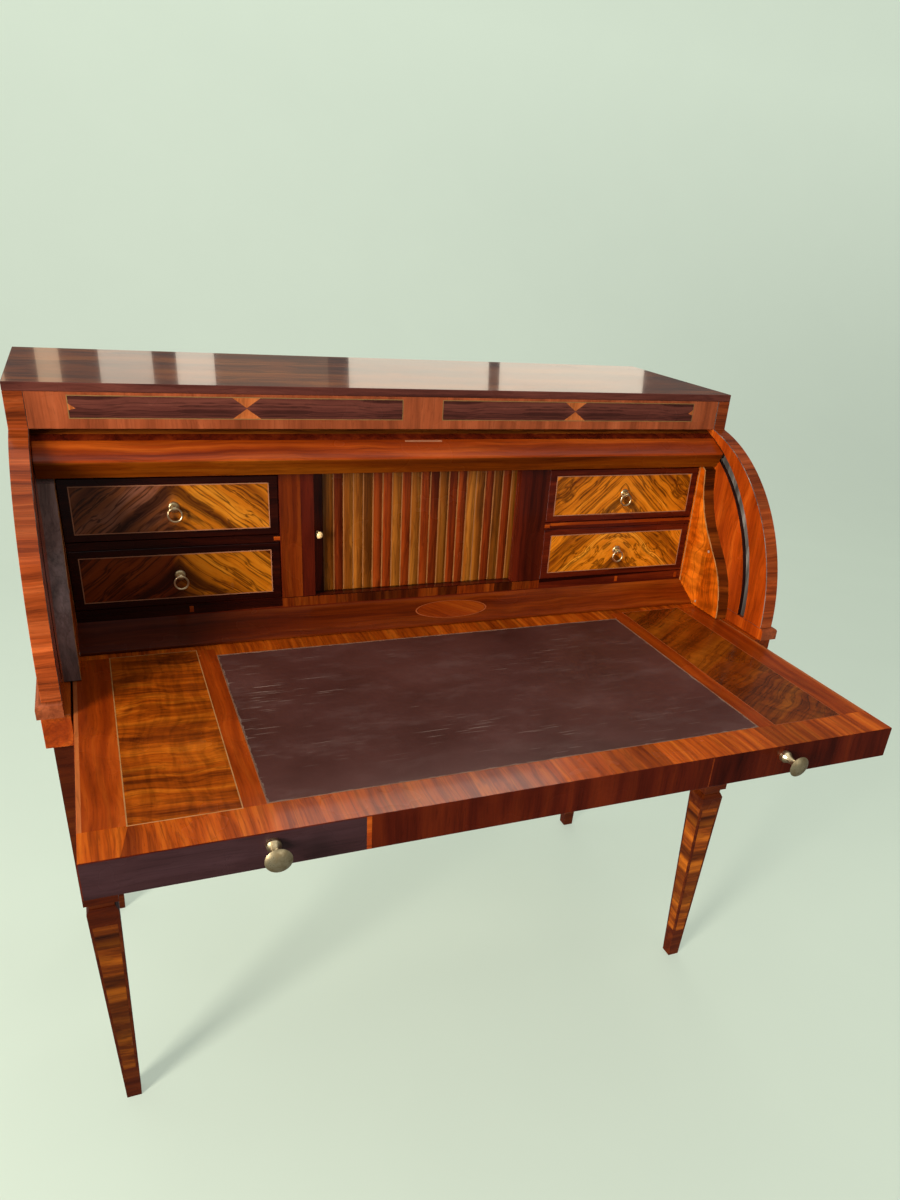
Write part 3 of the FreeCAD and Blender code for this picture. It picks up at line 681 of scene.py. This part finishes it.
def dress_cheeks():
    """The cheeks, each with stringing along its front edge and beside the drawers."""
    face = wood("cheek_walnut", HONEY, along="Z", figure=18, streaks=0.5, wave=0.13, ripple=0.6)
    # The left edge's grey wood is a painted reflection of the sky; the right edge is plain dark walnut
    edges = {"left": wood("left_cheek_edge_painted_sky", PAINTED_SKY_GREY, along="Z", figure=34, streaks=0.3),
             "right": wood("right_cheek_edge", DEEP_WALNUT, along="X", figure=60, streaks=0.3)}
    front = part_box("upper_left_drawer_front")[0].y
    for name, side in SIDES.items():
        node = name + "_cheek"
        low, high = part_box(node)
        inner = low.x if side > 0 else high.x
        paint(node, (face, lambda c, n: abs(n.x) > FACING), (edges[name], None), smooth=True)
        place = plane((inner, 0, 0), (0, -side, 0), (0, 0, 1))
        line = [(-side * y, z) for y, z in front_profile(node, inner)]
        strip = ribbon(line, side * CHEEK_LINE_WIDTH)
        inlay(node + "_stringing", [strip[::side]], place, line_pale, "case", LINE_PROUD)
        x = -side * (front - DRAWER_LINE_GAP)
        upright = rectangle(x - DRAWER_LINE_HALF, x + DRAWER_LINE_HALF, low.z + DRAWER_LINE_FOOT,
                            high.z - DRAWER_LINE_HEAD)
        inlay(node + "_line", [upright], place, line_pale, "case", LINE_PROUD)
    paint("cheek_pegs", (string_line("peg_head", (0.34, 0.22, 0.16)), None))


PLINTH_TOE = 3 * MM
# Painted shadow: the tint and the width of the change as the plinth's wood darkens towards its left end
PLINTH_PAINTED_SHADOW = (0.30, 0.25, 0.45)
PLINTH_PAINTED_SHADOW_EDGE = 0.8
OVAL_CENTRE = 54 * MM
OVAL_LONG = 66 * MM
OVAL_SHORT = 19 * MM
OVAL_POINTS = 64
OVAL_FIELD = 0.94
OVAL_LINE = 0.96


def dress_plinth():
    low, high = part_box("sloped_plinth")
    # Painted shadow towards the left end of the plinth
    slope = wood("plinth_wood", dimmed(ORANGE, 0.66), along="X", figure=30, streaks=0.3, half_shade=PLINTH_PAINTED_SHADOW,
                 shade_edge=PLINTH_PAINTED_SHADOW_EDGE)
    paint("sloped_plinth", (slope, None))
    toe = Vector((OVAL_CENTRE, low.y, low.z + PLINTH_TOE))
    rise = Vector((0, high.y - low.y, high.z - toe.z))
    place = plane(toe + rise * 0.5, (1, 0, 0), rise)

    def oval(share):
        turns = [2 * math.pi * k / OVAL_POINTS for k in range(OVAL_POINTS)]
        return [(OVAL_LONG * share * math.cos(a), OVAL_SHORT * share * math.sin(a)) for a in turns]

    field = wood("oval_wood", dimmed(ORANGE, 0.75), along="X", turn=0.5, figure=40, streaks=0.2)
    inlay("plinth_oval", [oval(OVAL_FIELD)], place, field, "case")
    inlay("plinth_oval_line", [oval(1.0)], place, line_dim, "case", LINE_PROUD,
          [oval(OVAL_LINE)])


LEDGE_LOW = 4 * MM
LEDGE_HIGH = 19 * MM
LEDGE_BLOCK = (6 * MM, 10 * MM)
LEDGE_BLOCK_PLACES = (-376 * MM, 397 * MM, 531 * MM)
SHELF_BLOCK = (10 * MM, 6 * MM)
# Height of a strip of orange wood along the top of the right shelf's front edge, a painted highlight
SHELF_HIGHLIGHT_HEIGHT = 5 * MM
JAMB_BAND_SHARE = 0.6


def dress_partitions():
    for node in ("interior_top", "interior_bottom", "left_shelf", "right_shelf"):
        # Painted shadow: the left half of each partition takes the darker frame wood
        paint(node, (painted_shadow_frame, lambda c, n: c.x < 0), (drawer_frame, None))
    ledge = wood("ledge_wood", dimmed(ORANGE, 0.7), along="Y", figure=60, streaks=0.4, band=("X", 0.036),
                 band_tone=0.8)
    low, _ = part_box("interior_bottom")
    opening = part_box("right_jamb")[1].x
    strip = rectangle(-opening, opening, LEDGE_LOW, LEDGE_HIGH)
    place = front_plane(0, low.y, low.z)
    inlay("ledge_veneer", [strip], place, ledge, "case")
    ledge_z = (LEDGE_LOW + LEDGE_HIGH) / 2
    blocks = [[(x + a, ledge_z + b) for a, b in centred(*LEDGE_BLOCK)] for x in LEDGE_BLOCK_PLACES]
    inlay("ledge_blocks", blocks, place, block_wood, "case", LINE_PROUD)
    band = {"left": wood("left_jamb_band", dimmed(ORANGE, 0.5), along="Y", figure=40, streaks=0.3),
            "right": wood("right_jamb_band", dimmed(RED, 0.55), along="Y", figure=40, streaks=0.3)}
    for name, side in SIDES.items():
        node = name + "_jamb"
        paint(node, (red_wood, None))
        low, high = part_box(node)
        width = (high.x - low.x) * JAMB_BAND_SHARE
        outer = (high.x if side > 0 else low.x) - side * (width / 2 + RIM)
        place = front_plane(outer, low.y, (low.z + high.z) / 2)
        inlay(node + "_band", [centred(width, high.z - low.z)], place, band[name], "case")
        low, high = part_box(name + "_shelf")
        inner = (low.x if side > 0 else high.x) + side * SHELF_BLOCK[0] / 2
        place = front_plane(inner, low.y, (low.z + high.z) / 2)
        inlay(name + "_shelf_block", [centred(*SHELF_BLOCK)], place, block_wood, "case",
              LINE_PROUD)
    # Painted highlight: an orange strip along the top of the right shelf's front edge, where light catches it
    low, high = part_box("right_shelf")
    strip = rectangle(low.x + SHELF_BLOCK[0] + RIM, high.x, -SHELF_HIGHLIGHT_HEIGHT, 0)
    place = front_plane(0, low.y, high.z - RIM)
    inlay("right_shelf_painted_highlight", [strip], place, block_wood, "case")


SMALL_PANEL_SIDE = 15 * MM
SMALL_PANEL_END = 12 * MM
VENEER_TURN = 0.68
VENEER_STEP = (0.37, 0.61, 0)
# Painted light: the left drawers' veneer is darker and the right drawers' lighter
VENEER_PAINTED_LIGHT = {"left": 0.9, "right": 1.35}
# Darker veneer leaves on the left halves of the left drawers, with painted shade over them; the upper one's bluer
# tint is a painted purple-grey reflection
HALF_SHADES = {"upper_left": (0.42, 0.42, 3.6), "lower_left": (0.36, 0.19, 0.38)}
FLAMES = {"upper_left": 18 * MM, "lower_left": 14 * MM, "upper_right": -4 * MM, "lower_right": -8 * MM}
FLAME_HALF = 11 * MM
FLAME_DEPTH = 0.85


def dress_small_drawers():
    """The small drawers. Each has its own leaf of the veneer, book-matched, with a dark flame. The woods carry
    painted light: the right drawers' veneer is lighter, and the left drawers' veneer and frames darker, with
    painted shade over the darker leaves of their left halves and a painted purple-grey reflection on the upper
    one.
    """
    # Painted shadow: the left drawers' frames take the darker frame wood
    frames = {"left": painted_shadow_frame, "right": drawer_frame}
    for index, (level, name) in enumerate((level, name) for level in LEVELS for name in SIDES):
        key = "%s_%s" % (level, name)
        panel = wood(key + "_panel", dimmed(GOLD_WALNUT, VENEER_PAINTED_LIGHT[name]), along="X", turn=VENEER_TURN,
                     mirror=True, figure=48, streaks=0.8, wave=0.06, flame=(FLAMES[key], FLAME_HALF, FLAME_DEPTH),
                     half_shade=HALF_SHADES.get(key), shift=scaled(VENEER_STEP, index))
        paint(key + "_drawer_front", (frames[name], None))
        low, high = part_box(key + "_drawer_front")
        middle = (low + high) / 2
        size = (high.x - low.x - 2 * SMALL_PANEL_SIDE, high.z - low.z - 2 * SMALL_PANEL_END)
        framed(key + "_drawer", size, front_plane(middle.x, low.y, middle.z), panel, line_rose, key + "_drawer")
        paint(key + "_pull_boss", (brass_metal, None), smooth=True)
        paint(key + "_pull_ring", (brass_metal, None), smooth=True)


LONG_PANEL_SIDE = 20 * MM
LONG_PANEL_END = 18 * MM


def dress_long_drawers():
    for level in LEVELS:
        key = level + "_long_drawer"
        panel = wood(key + "_panel", WALNUT, along="X", turn=0.5, mirror=True, figure=18, streaks=0.7,
                     wave=0.05)
        paint(key + "_front", (drawer_frame, None))
        low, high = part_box(key + "_front")
        size = (high.x - low.x - 2 * LONG_PANEL_SIDE, high.z - low.z - 2 * LONG_PANEL_END)
        framed(key, size, front_plane(0, low.y, (low.z + high.z) / 2), panel, line_rose, key)


# Tambour door

SLAT_WOODS = "OROOORRORORRORROOROROR"
SLAT_COUNT = len(SLAT_WOODS)
SLAT_GAP = 0.5 * MM
SLAT_CROWN = 1.6 * MM
SLAT_STEPS = 8

# In a slat's section, the side where the rounded front begins: it carries a painted highlight, a pale line, the
# third of the materials
FRONT_START = 2
PAINTED_HIGHLIGHT = 2


def tambour_wood(name, tones, pitch):
    return wood(name, tones, along="Y", figure=60, streaks=0.4, band=("X", pitch), band_tone=0.4, source="UV")


def dress_tambour():
    """The curtain of rounded slats in two woods."""
    low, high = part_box("tambour_slats")
    pitch = (high.x - low.x) / SLAT_COUNT
    bm = bmesh.new()
    grain = bm.loops.layers.uv.new("grain")
    for index in range(SLAT_COUNT):
        start = low.x + index * pitch + SLAT_GAP
        end = low.x + (index + 1) * pitch
        section = [(end, high.y), (start, high.y)]
        for k in range(SLAT_STEPS + 1):
            share = k / SLAT_STEPS
            section.append((start + (end - start) * share, low.y + SLAT_CROWN * (1 - math.sin(math.pi * share))))
        top = [bm.verts.new((x, y, high.z)) for x, y in section]
        bottom = [bm.verts.new((x, y, low.z)) for x, y in section]
        faces = [bm.faces.new(top[::-1]), bm.faces.new(bottom)]
        for k in range(len(section)):
            n = (k + 1) % len(section)
            faces.append(bm.faces.new((top[k], top[n], bottom[n], bottom[k])))
            # The first face of each slat's rounded front is a pale line as painted highlight
            faces[-1].material_index = PAINTED_HIGHLIGHT if k == FRONT_START else "OR".index(SLAT_WOODS[index])
        for face in faces:
            for corner in face.loops:
                corner[grain].uv = (corner.vert.co.x - low.x, corner.vert.co.z)
    bmesh.ops.recalc_face_normals(bm, faces=bm.faces)
    mesh = bpy.data.meshes.new("tambour_curtain")
    bm.to_mesh(mesh)
    bm.free()
    # The third wood is the pale painted highlight along each slat's left edge
    woods = [tambour_wood("tambour_olive", OLIVE, pitch), tambour_wood("tambour_russet", RUSSET, pitch),
             string_line("tambour_painted_highlight", (0.22, 0.080, 0.020))]
    curtain = add_piece("tambour_curtain", mesh, Matrix.Identity(4), woods, "case")
    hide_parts("tambour_slats")
    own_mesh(curtain)
    paint("tambour_lead_bar", (red_wood, None))
    paint("tambour_knob", (bone("tambour_bone"), None), smooth=True)


# Writing slide

WALNUT_PANEL_IN = 381 * MM
WALNUT_PANEL_OUT = 503 * MM
WALNUT_PANEL_FRONT = 56 * MM
WALNUT_PANEL_BACK = 60 * MM
EDGE_STRIP = 5 * MM
LEATHER_GAP = 2 * MM
LEATHER_LINE = 1.4 * MM
PATCH_INNER = 497 * MM
PATCH_OUTER = 513 * MM
PATCH_GAP = 2 * MM

# The place and width of the light joints in the slide's front edge
EDGE_JOINTS = ((-247 * MM, 6 * MM), (234 * MM, 2 * MM))


def dress_slide():
    low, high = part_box("slide_board")
    hide_low, hide_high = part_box("leather_inset")
    top = high.z
    edge = wood("slide_edge", dimmed(RED, 0.85), along="Z", figure=26, streaks=0.12, band=("X", 0.21),
                band_tone=0.25, gloss=0.08, coat=0.03)
    # Painted shade and reflection on the slide's front edge, left of its first joint
    painted_shade_edge = wood("slide_edge_painted_shade", PAINTED_SHADE_PURPLE, along="X", figure=30, streaks=0.1)
    cross_band = wood("cross_band", BRIGHT, along="Y", figure=60, streaks=0.4, band=("X", 0.085), band_tone=0.45,
                      coat=0.05)
    patch_wood = wood("patch_wood", dimmed(ORANGE, 0.6), along="Y", figure=40, streaks=0.3, coat=0.05)
    paint("slide_board",
          (edge, lambda c, n: n.y < -LEANING or abs(n.x) > LEANING),
          (plain_wood, lambda c, n: n.z < -LEANING or n.y > LEANING),
          (cross_band, None))
    paint("leather_inset", (worn_leather("worn_leather", hide_low, hide_high), None))
    panels = {
        "left": wood("left_slide_walnut", SLIDE_WALNUT, along="X", turn=0.05, figure=46, streaks=0.4, wave=0.05,
                     ripple=0.55),
        "right": wood("right_slide_walnut", dimmed(SLIDE_WALNUT, 0.6), along="X", turn=-0.6, figure=30,
                      streaks=0.5, wave=0.05, ripple=0.4, coat=0.16)}
    lines = {"left": line_pale, "right": line_dim}
    front, back = low.y + WALNUT_PANEL_FRONT, high.y - WALNUT_PANEL_BACK
    middle = (front + back) / 2
    rim = high.x - RIM - EDGE_STRIP
    bands = {"inner": (hide_high.x + LEATHER_GAP, WALNUT_PANEL_IN - LINE_WIDTH, long_band),
             "outer": (WALNUT_PANEL_OUT + LINE_WIDTH, rim, long_band),
             "rim": (rim, rim + EDGE_STRIP, inlay_orange)}
    for name, side in SIDES.items():
        place = level_plane(side * (WALNUT_PANEL_IN + WALNUT_PANEL_OUT) / 2, middle, top)
        framed(name + "_slide_panel", (WALNUT_PANEL_OUT - WALNUT_PANEL_IN, back - front), place, panels[name],
               lines[name], "slide")
        for part, (near, far, material) in bands.items():
            place = level_plane(side * (near + far) / 2, middle, top)
            inlay("%s_slide_%s_band" % (name, part), [centred(far - near, back - front)], place, material, "slide")
        paint(name + "_slide_knob", (brass_metal, None), smooth=True)
    place = level_plane((hide_low.x + hide_high.x) / 2, (hide_low.y + hide_high.y) / 2, top)
    width, depth = hide_high.x - hide_low.x, hide_high.y - hide_low.y
    hole = centred(width + 2 * TOUCH, depth + 2 * TOUCH)
    ring = centred(width + 2 * LEATHER_LINE, depth + 2 * LEATHER_LINE)
    line = string_line("worn_stringing", (0.19, 0.085, 0.045))
    inlay("leather_stringing", [ring], place, line, "slide", LINE_PROUD, [hole])
    near, far = low.y + RIM, front - PATCH_GAP
    patch = [(-PATCH_OUTER, near), (-PATCH_INNER, near), (-PATCH_INNER, far), (-WALNUT_PANEL_OUT, far)]
    inlay("slide_corner_patch", [patch], level_plane(0, 0, top), patch_wood, "slide")
    edge_z = (low.z + high.z) / 2
    half = (high.z - low.z) / 2 - RIM
    # The left end of the front edge, up to the first joint, takes the painted shade and purple reflection
    painted_shade_end = EDGE_JOINTS[0][0] - EDGE_JOINTS[0][1] / 2
    inlay("slide_edge_left_painted_shade", [rectangle(low.x + RIM, painted_shade_end, -half, half)], front_plane(0, low.y, edge_z),
          painted_shade_edge, "slide")
    for index, ((x, wide), material) in enumerate(zip(EDGE_JOINTS, (block_wood, patch_wood))):
        inlay("slide_edge_joint_%d" % index, [centred(wide, 2 * half)], front_plane(x, low.y, edge_z), material,
              "slide")


# Stage

FRAME_WIDTH, FRAME_HEIGHT = 900, 1200
SENSOR = 36.0
CAMERA_PLACE = (-0.4845, -1.2584, 1.3666)
CAMERA_YAW, CAMERA_PITCH, CAMERA_ROLL = (math.radians(a) for a in (25.312, -28.443, 5.076))
FOCAL_PIXELS = 885.4
OPTICAL_CENTRE = (494.4, 720.8)


def add_camera():
    data = bpy.data.cameras.new("camera")
    data.sensor_width = SENSOR
    data.lens = FOCAL_PIXELS * SENSOR / FRAME_HEIGHT
    data.shift_x = (FRAME_WIDTH / 2 - OPTICAL_CENTRE[0]) / FRAME_HEIGHT
    data.shift_y = (OPTICAL_CENTRE[1] - FRAME_HEIGHT / 2) / FRAME_HEIGHT
    camera = bpy.data.objects.new("camera", data)
    bpy.context.scene.collection.objects.link(camera)
    flat = math.cos(CAMERA_PITCH)
    ahead = Vector((math.sin(CAMERA_YAW) * flat, math.cos(CAMERA_YAW) * flat, math.sin(CAMERA_PITCH)))
    level = Vector((math.cos(CAMERA_YAW), -math.sin(CAMERA_YAW), 0))
    right = level * math.cos(CAMERA_ROLL) + level.cross(ahead) * math.sin(CAMERA_ROLL)
    camera.matrix_world = plane(CAMERA_PLACE, right, right.cross(ahead))
    bpy.context.scene.camera = camera


def add_light(name, place, target, size, power, colour):
    data = bpy.data.lights.new(name, "AREA")
    data.shape = "RECTANGLE"
    data.size, data.size_y = size
    data.energy = power
    data.color = colour
    light = bpy.data.objects.new(name, data)
    bpy.context.scene.collection.objects.link(light)
    light.location = place
    light.rotation_euler = (Vector(target) - Vector(place)).to_track_quat("-Z", "Y").to_euler()
    light.visible_camera = False


SWEEP_TONE = (0.617, 0.708, 0.591)
SWEEP_DARK, SWEEP_LIGHT = 0.38, 0.42
FLOOR_GLOW, WALL_GLOW = 0.58, 0.80
SWEEP_WIDTH, SWEEP_NEAR, SWEEP_FAR, SWEEP_HEIGHT, SWEEP_BEND = 60.0, -9.0, 5.0, 14.0, 2.5
SWEEP_STEPS = 24


def add_floor():
    """A pale sweep that glows softly: a floor that turns up into a wall far behind the desk."""
    t = Tree("pale_sweep")
    place = t.place()
    cloud = t.noise(place, 3.0, 3.0)
    colour = t.mix(cloud, scaled(SWEEP_TONE, SWEEP_DARK), scaled(SWEEP_TONE, SWEEP_LIGHT))
    height = t.math("DIVIDE", t.split(place)[2], SWEEP_BEND, clamp=True)
    glow = t.mix(height, scaled(SWEEP_TONE, FLOOR_GLOW), scaled(SWEEP_TONE, WALL_GLOW))
    t.finish(Base_Color=colour, Roughness=0.9, Specular_IOR_Level=0.1, Emission_Color=glow, Emission_Strength=1.0)
    turns = [math.pi / 2 * k / SWEEP_STEPS for k in range(SWEEP_STEPS + 1)]
    profile = [(SWEEP_NEAR, 0.0)]
    profile += [(SWEEP_FAR - SWEEP_BEND * (1 - math.sin(a)), SWEEP_BEND * (1 - math.cos(a))) for a in turns]
    profile.append((SWEEP_FAR, SWEEP_HEIGHT))
    bm = bmesh.new()
    rows = [[bm.verts.new((x, y, z)) for x in (-SWEEP_WIDTH / 2, SWEEP_WIDTH / 2)] for y, z in profile]
    for a, b in zip(rows, rows[1:]):
        bm.faces.new((a[0], a[1], b[1], b[0])).smooth = True
    mesh = bpy.data.meshes.new("sweep")
    bm.to_mesh(mesh)
    bm.free()
    mesh.materials.append(t.material)
    sweep = bpy.data.objects.new("sweep", mesh)
    bpy.context.scene.collection.objects.link(sweep)
    sweep.visible_glossy = False


WHITE = (1, 1, 1)
WARM = (1.0, 0.93, 0.84)
CREAM = (1.0, 0.90, 0.72)
UMBER = (1.0, 0.72, 0.46)

# The name, place, target, size, power and colour of each light
LIGHTS = (
    ("key", (-3.2, -1.95, 2.6), (0.1, 0.1, 0.85), (0.9, 0.9), 118, WARM),
    ("low_key", (-3.1, -2.0, 1.5), (0.1, 0.1, 0.95), (0.9, 0.9), 165, WARM),
    ("front", (0.6, -3.4, 1.6), (0.0, 0.2, 0.8), (2.0, 1.2), 5, WARM),
    ("sheen", (1.3, 3.6, 3.7), (0.0, -0.4, 0.8), (2.0, 0.5), 30, WARM),
    ("top", (0.0, 0.0, 3.8), (0.0, 0.0, 0.0), (5.0, 5.0), 65, WHITE),
)

# The middle, width, power per width and colour of the soft boxes that the polished top mirrors
SOFTBOXES = (
    (-0.88, 0.10, 1.6, UMBER),
    (-0.64, 0.10, 1.6, UMBER),
    (-0.30, 0.24, 1.8, CREAM),
    (0.02, 0.18, 2.4, CREAM),
    (0.40, 0.56, 0.25, UMBER),
    (1.19, 0.80, 2.5, CREAM),
    (2.13, 0.95, 2.6, CREAM),
)
SOFTBOX_Y, SOFTBOX_Z = 3.6, 1.65
SOFTBOX_HEIGHT = 0.8
SOFTBOX_TARGET_Z = 1.3
SKY_TONE = (0.85, 0.90, 0.86)
FRONT_SKY = 0.24
BACK_SKY = 0.12


def add_lights():
    """A sky that is dimmer behind the desk, the lights, and the soft boxes."""
    world = bpy.data.worlds.new("studio")
    world.use_nodes = True
    tree = world.node_tree
    sky = tree.nodes["Background"]
    sky.inputs["Color"].default_value = (*SKY_TONE, 1)
    place = tree.nodes.new("ShaderNodeTexCoord")
    parts = tree.nodes.new("ShaderNodeSeparateXYZ")
    strength = tree.nodes.new("ShaderNodeMapRange")
    for name, value in (("From Min", -1.0), ("From Max", 1.0), ("To Min", FRONT_SKY), ("To Max", BACK_SKY)):
        strength.inputs[name].default_value = value
    tree.links.new(place.outputs["Generated"], parts.inputs[0])
    tree.links.new(parts.outputs["Y"], strength.inputs["Value"])
    tree.links.new(strength.outputs[0], sky.inputs["Strength"])
    bpy.context.scene.world = world
    for light in LIGHTS:
        add_light(*light)
    for index, (x, width, power, colour) in enumerate(SOFTBOXES):
        add_light("softbox_%d" % index, (x, SOFTBOX_Y, SOFTBOX_Z), (x, 0.0, SOFTBOX_TARGET_Z),
                  (width, SOFTBOX_HEIGHT), power * width, colour)


bpy.context.scene.view_settings.view_transform = "Standard"
dress_top()
dress_frieze()
dress_sides()
dress_legs()
dress_carcass()
dress_cylinder()
dress_cheeks()
dress_plinth()
dress_partitions()
dress_small_drawers()
dress_long_drawers()
dress_tambour()
dress_slide()
add_floor()
add_lights()
add_camera()
